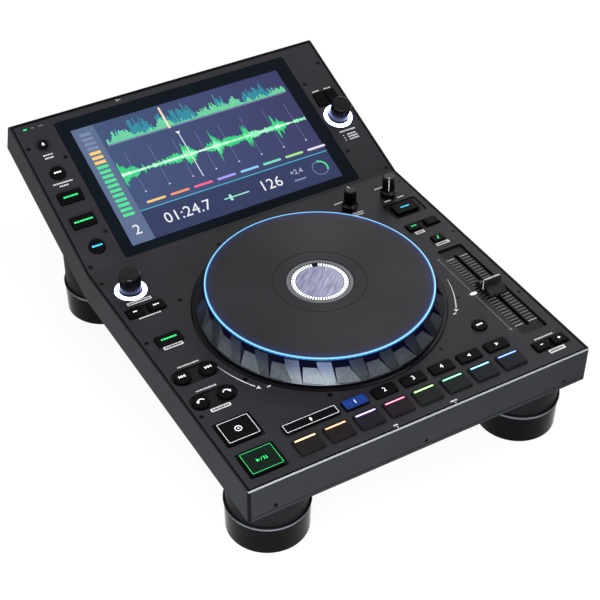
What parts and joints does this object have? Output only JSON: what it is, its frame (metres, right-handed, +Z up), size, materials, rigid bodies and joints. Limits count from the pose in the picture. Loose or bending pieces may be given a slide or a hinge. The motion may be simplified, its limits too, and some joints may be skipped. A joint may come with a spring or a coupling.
{
  "type": "tabletop media player",
  "caption": "Tabletop media player: sloped touch screen, notched jog wheel with round display, keys, pads, encoders, pots and pitch fader on a bent case with four round feet.",
  "frame": {"origin": "middle of the outline on the table, at the height of the feet's undersides", "axes": "+X to the right, +Y from the front edge to the back, +Z up"},
  "size_m": [0.319, 0.4662, 0.1483],
  "materials": {
    "case_black": "fine moulded texture",
    "panel_black": "matt powder coat",
    "collar_matte": "matt",
    "foot_gloss": "polished",
    "screen_glass": "polished black glass",
    "gloss_black": "semi-gloss",
    "platter_charcoal": "satin with fine radial sheen",
    "rim_gunmetal": "brushed gunmetal",
    "light_guide_blue": "lit blue light guide",
    "round_display": "lit round display under a clear cover",
    "screw_black": "blackened",
    "light_guide_white": "lit white light guide",
    "board_green": "lacquered board",
    "socket_black": "moulded",
    "shaft_steel": "turned",
    "knob_black": "semi-gloss",
    "key_black": "satin",
    "pad_rubber": "matt silicone"
  },
  "bodies": {
    "root": {"lower_case": "case_black", "top_panel": "panel_black", "foot_collars": "collar_matte", "foot_rings": "foot_gloss", "touch_display": "screen_glass", "jog_base": "gloss_black", "jog_centre_display": "round_display", "panel_screws": "screw_black", "knob_light_rings": "light_guide_white", "circuit_boards": "board_green", "io_connectors": "socket_black"},
    "jog": {"jog_platter": "platter_charcoal", "jog_rim": "rim_gunmetal", "jog_light_ring": "light_guide_blue"},
    "cue_button": {"cue_button": "key_black"},
    "play_button": {"play_button": "key_black"},
    "shift_button": {"shift_button": "key_black"},
    "mode_button_1": {"mode_button_1": "key_black"},
    "mode_button_2": {"mode_button_2": "key_black"},
    "mode_button_3": {"mode_button_3": "key_black"},
    "mode_button_4": {"mode_button_4": "key_black"},
    "mode_button_5": {"mode_button_5": "key_black"},
    "mode_button_6": {"mode_button_6": "key_black"},
    "pad_1": {"pad_1": "pad_rubber"},
    "pad_2": {"pad_2": "pad_rubber"},
    "pad_3": {"pad_3": "pad_rubber"},
    "pad_4": {"pad_4": "pad_rubber"},
    "pad_5": {"pad_5": "pad_rubber"},
    "pad_6": {"pad_6": "pad_rubber"},
    "pad_7": {"pad_7": "pad_rubber"},
    "pad_8": {"pad_8": "pad_rubber"},
    "jump_back_button": {"jump_back_button": "key_black"},
    "jump_forward_button": {"jump_forward_button": "key_black"},
    "skip_back_button": {"skip_back_button": "key_black"},
    "skip_forward_button": {"skip_forward_button": "key_black"},
    "censor_button": {"censor_button": "key_black"},
    "loop_in_button": {"loop_in_button": "key_black"},
    "loop_out_button": {"loop_out_button": "key_black"},
    "slip_button": {"slip_button": "key_black"},
    "bend_minus_button": {"bend_minus_button": "key_black"},
    "bend_plus_button": {"bend_plus_button": "key_black"},
    "key_lock_button": {"key_lock_button": "key_black"},
    "sync_button": {"sync_button": "key_black"},
    "lead_button": {"lead_button": "key_black"},
    "vinyl_button": {"vinyl_button": "key_black"},
    "eject_button": {"eject_button": "key_black"},
    "view_button": {"view_button": "key_black"},
    "source_button": {"source_button": "key_black"},
    "shortcuts_button": {"shortcuts_button": "key_black"},
    "layer_button": {"layer_button": "key_black"},
    "back_button": {"back_button": "key_black"},
    "forward_button": {"forward_button": "key_black"},
    "loop_encoder_shaft": {"loop_encoder_shaft": "shaft_steel"},
    "loop_encoder_knob": {"loop_encoder_knob": "knob_black"},
    "select_encoder_shaft": {"select_encoder_shaft": "shaft_steel"},
    "select_encoder_knob": {"select_encoder_knob": "knob_black"},
    "stop_time_knob": {"stop_time_knob": "knob_black"},
    "torque_knob": {"torque_knob": "knob_black"},
    "pitch_fader_cap": {"pitch_fader_cap": "knob_black"},
    "power_button": {"power_button": "key_black"}
  },
  "joints": [
    {"name": "jog_turn", "type": "hinge", "parent": "root", "child": "jog", "pos_m": [-0.003, -0.07279, 0.0886], "axis": [0, 0, 1], "continuous": true},
    {"name": "cue_press", "type": "slide", "parent": "root", "child": "cue_button", "axis": [0, 0, -1], "range_m": [0, 0.0012], "stiffness_N_per_m": 400, "springref_m": -0.001},
    {"name": "play_press", "type": "slide", "parent": "root", "child": "play_button", "axis": [0, 0, -1], "range_m": [0, 0.0012], "stiffness_N_per_m": 400, "springref_m": -0.001},
    {"name": "shift_press", "type": "slide", "parent": "root", "child": "shift_button", "axis": [0, 0, -1], "range_m": [0, 0.0012], "stiffness_N_per_m": 400, "springref_m": -0.001},
    {"name": "mode_1_press", "type": "slide", "parent": "root", "child": "mode_button_1", "axis": [0, 0, -1], "range_m": [0, 0.0012], "stiffness_N_per_m": 400, "springref_m": -0.001},
    {"name": "mode_2_press", "type": "slide", "parent": "root", "child": "mode_button_2", "axis": [0, 0, -1], "range_m": [0, 0.0012], "stiffness_N_per_m": 400, "springref_m": -0.001},
    {"name": "mode_3_press", "type": "slide", "parent": "root", "child": "mode_button_3", "axis": [0, 0, -1], "range_m": [0, 0.0012], "stiffness_N_per_m": 400, "springref_m": -0.001},
    {"name": "mode_4_press", "type": "slide", "parent": "root", "child": "mode_button_4", "axis": [0, 0, -1], "range_m": [0, 0.0012], "stiffness_N_per_m": 400, "springref_m": -0.001},
    {"name": "mode_5_press", "type": "slide", "parent": "root", "child": "mode_button_5", "axis": [0, 0, -1], "range_m": [0, 0.0012], "stiffness_N_per_m": 400, "springref_m": -0.001},
    {"name": "mode_6_press", "type": "slide", "parent": "root", "child": "mode_button_6", "axis": [0, 0, -1], "range_m": [0, 0.0012], "stiffness_N_per_m": 400, "springref_m": -0.001},
    {"name": "pad_1_press", "type": "slide", "parent": "root", "child": "pad_1", "axis": [0, 0, -1], "range_m": [0, 0.0012], "stiffness_N_per_m": 400, "springref_m": -0.001},
    {"name": "pad_2_press", "type": "slide", "parent": "root", "child": "pad_2", "axis": [0, 0, -1], "range_m": [0, 0.0012], "stiffness_N_per_m": 400, "springref_m": -0.001},
    {"name": "pad_3_press", "type": "slide", "parent": "root", "child": "pad_3", "axis": [0, 0, -1], "range_m": [0, 0.0012], "stiffness_N_per_m": 400, "springref_m": -0.001},
    {"name": "pad_4_press", "type": "slide", "parent": "root", "child": "pad_4", "axis": [0, 0, -1], "range_m": [0, 0.0012], "stiffness_N_per_m": 400, "springref_m": -0.001},
    {"name": "pad_5_press", "type": "slide", "parent": "root", "child": "pad_5", "axis": [0, 0, -1], "range_m": [0, 0.0012], "stiffness_N_per_m": 400, "springref_m": -0.001},
    {"name": "pad_6_press", "type": "slide", "parent": "root", "child": "pad_6", "axis": [0, 0, -1], "range_m": [0, 0.0012], "stiffness_N_per_m": 400, "springref_m": -0.001},
    {"name": "pad_7_press", "type": "slide", "parent": "root", "child": "pad_7", "axis": [0, 0, -1], "range_m": [0, 0.0012], "stiffness_N_per_m": 400, "springref_m": -0.001},
    {"name": "pad_8_press", "type": "slide", "parent": "root", "child": "pad_8", "axis": [0, 0, -1], "range_m": [0, 0.0012], "stiffness_N_per_m": 400, "springref_m": -0.001},
    {"name": "jump_back_press", "type": "slide", "parent": "root", "child": "jump_back_button", "axis": [0, 0, -1], "range_m": [0, 0.0012], "stiffness_N_per_m": 400, "springref_m": -0.001},
    {"name": "jump_forward_press", "type": "slide", "parent": "root", "child": "jump_forward_button", "axis": [0, 0, -1], "range_m": [0, 0.0012], "stiffness_N_per_m": 400, "springref_m": -0.001},
    {"name": "skip_back_press", "type": "slide", "parent": "root", "child": "skip_back_button", "axis": [0, 0, -1], "range_m": [0, 0.0012], "stiffness_N_per_m": 400, "springref_m": -0.001},
    {"name": "skip_forward_press", "type": "slide", "parent": "root", "child": "skip_forward_button", "axis": [0, 0, -1], "range_m": [0, 0.0012], "stiffness_N_per_m": 400, "springref_m": -0.001},
    {"name": "censor_press", "type": "slide", "parent": "root", "child": "censor_button", "axis": [0, 0, -1], "range_m": [0, 0.0012], "stiffness_N_per_m": 400, "springref_m": -0.001},
    {"name": "loop_in_press", "type": "slide", "parent": "root", "child": "loop_in_button", "axis": [0, 0, -1], "range_m": [0, 0.0012], "stiffness_N_per_m": 400, "springref_m": -0.001},
    {"name": "loop_out_press", "type": "slide", "parent": "root", "child": "loop_out_button", "axis": [0, 0, -1], "range_m": [0, 0.0012], "stiffness_N_per_m": 400, "springref_m": -0.001},
    {"name": "slip_press", "type": "slide", "parent": "root", "child": "slip_button", "axis": [0, 0, -1], "range_m": [0, 0.0012], "stiffness_N_per_m": 400, "springref_m": -0.001},
    {"name": "bend_minus_press", "type": "slide", "parent": "root", "child": "bend_minus_button", "axis": [0, 0, -1], "range_m": [0, 0.0012], "stiffness_N_per_m": 400, "springref_m": -0.001},
    {"name": "bend_plus_press", "type": "slide", "parent": "root", "child": "bend_plus_button", "axis": [0, 0, -1], "range_m": [0, 0.0012], "stiffness_N_per_m": 400, "springref_m": -0.001},
    {"name": "key_lock_press", "type": "slide", "parent": "root", "child": "key_lock_button", "axis": [0, 0, -1], "range_m": [0, 0.0012], "stiffness_N_per_m": 400, "springref_m": -0.001},
    {"name": "sync_press", "type": "slide", "parent": "root", "child": "sync_button", "axis": [0, 0, -1], "range_m": [0, 0.0012], "stiffness_N_per_m": 400, "springref_m": -0.001},
    {"name": "lead_press", "type": "slide", "parent": "root", "child": "lead_button", "axis": [0, 0, -1], "range_m": [0, 0.0012], "stiffness_N_per_m": 400, "springref_m": -0.001},
    {"name": "vinyl_press", "type": "slide", "parent": "root", "child": "vinyl_button", "axis": [0, 0, -1], "range_m": [0, 0.0012], "stiffness_N_per_m": 400, "springref_m": -0.001},
    {"name": "eject_press", "type": "slide", "parent": "root", "child": "eject_button", "axis": [0, 0.3486, -0.9373], "range_m": [0, 0.0012], "stiffness_N_per_m": 400, "springref_m": -0.001},
    {"name": "view_press", "type": "slide", "parent": "root", "child": "view_button", "axis": [0, 0.3486, -0.9373], "range_m": [0, 0.0012], "stiffness_N_per_m": 400, "springref_m": -0.001},
    {"name": "source_press", "type": "slide", "parent": "root", "child": "source_button", "axis": [0, 0.3486, -0.9373], "range_m": [0, 0.0012], "stiffness_N_per_m": 400, "springref_m": -0.001},
    {"name": "shortcuts_press", "type": "slide", "parent": "root", "child": "shortcuts_button", "axis": [0, 0.3486, -0.9373], "range_m": [0, 0.0012], "stiffness_N_per_m": 400, "springref_m": -0.001},
    {"name": "layer_press", "type": "slide", "parent": "root", "child": "layer_button", "axis": [0, 0.3486, -0.9373], "range_m": [0, 0.0012], "stiffness_N_per_m": 400, "springref_m": -0.001},
    {"name": "back_press", "type": "slide", "parent": "root", "child": "back_button", "axis": [0, 0.3486, -0.9373], "range_m": [0, 0.0012], "stiffness_N_per_m": 400, "springref_m": -0.001},
    {"name": "forward_press", "type": "slide", "parent": "root", "child": "forward_button", "axis": [0, 0.3486, -0.9373], "range_m": [0, 0.0012], "stiffness_N_per_m": 400, "springref_m": -0.001},
    {"name": "loop_push", "type": "slide", "parent": "root", "child": "loop_encoder_shaft", "axis": [0, 0, -1], "range_m": [0, 0.0008], "stiffness_N_per_m": 600, "springref_m": -0.001},
    {"name": "loop_turn", "type": "hinge", "parent": "loop_encoder_shaft", "child": "loop_encoder_knob", "pos_m": [-0.1345, 0.0217, 0.0886], "axis": [0, 0, 1], "continuous": true},
    {"name": "select_push", "type": "slide", "parent": "root", "child": "select_encoder_shaft", "axis": [0, 0.3486, -0.9373], "range_m": [0, 0.0008], "stiffness_N_per_m": 600, "springref_m": -0.001},
    {"name": "select_turn", "type": "hinge", "parent": "select_encoder_shaft", "child": "select_encoder_knob", "pos_m": [0.1392, 0.13114, 0.11561], "axis": [0, -0.3486, 0.9373], "continuous": true},
    {"name": "stop_time_turn", "type": "hinge", "parent": "root", "child": "stop_time_knob", "pos_m": [0.0895, 0.0279, 0.0886], "axis": [0, 0, 1], "range_deg": [-150, 150]},
    {"name": "torque_turn", "type": "hinge", "parent": "root", "child": "torque_knob", "pos_m": [0.1312, 0.0279, 0.0886], "axis": [0, 0, 1], "range_deg": [-300, 0]},
    {"name": "pitch_slide", "type": "slide", "parent": "root", "child": "pitch_fader_cap", "axis": [0, 1, 0], "range_m": [-0.05, 0.05]},
    {"name": "power_press", "type": "slide", "parent": "root", "child": "power_button", "axis": [0, -1, 0], "range_m": [0, 0.002], "stiffness_N_per_m": 500, "springref_m": -0.001}
  ]
}
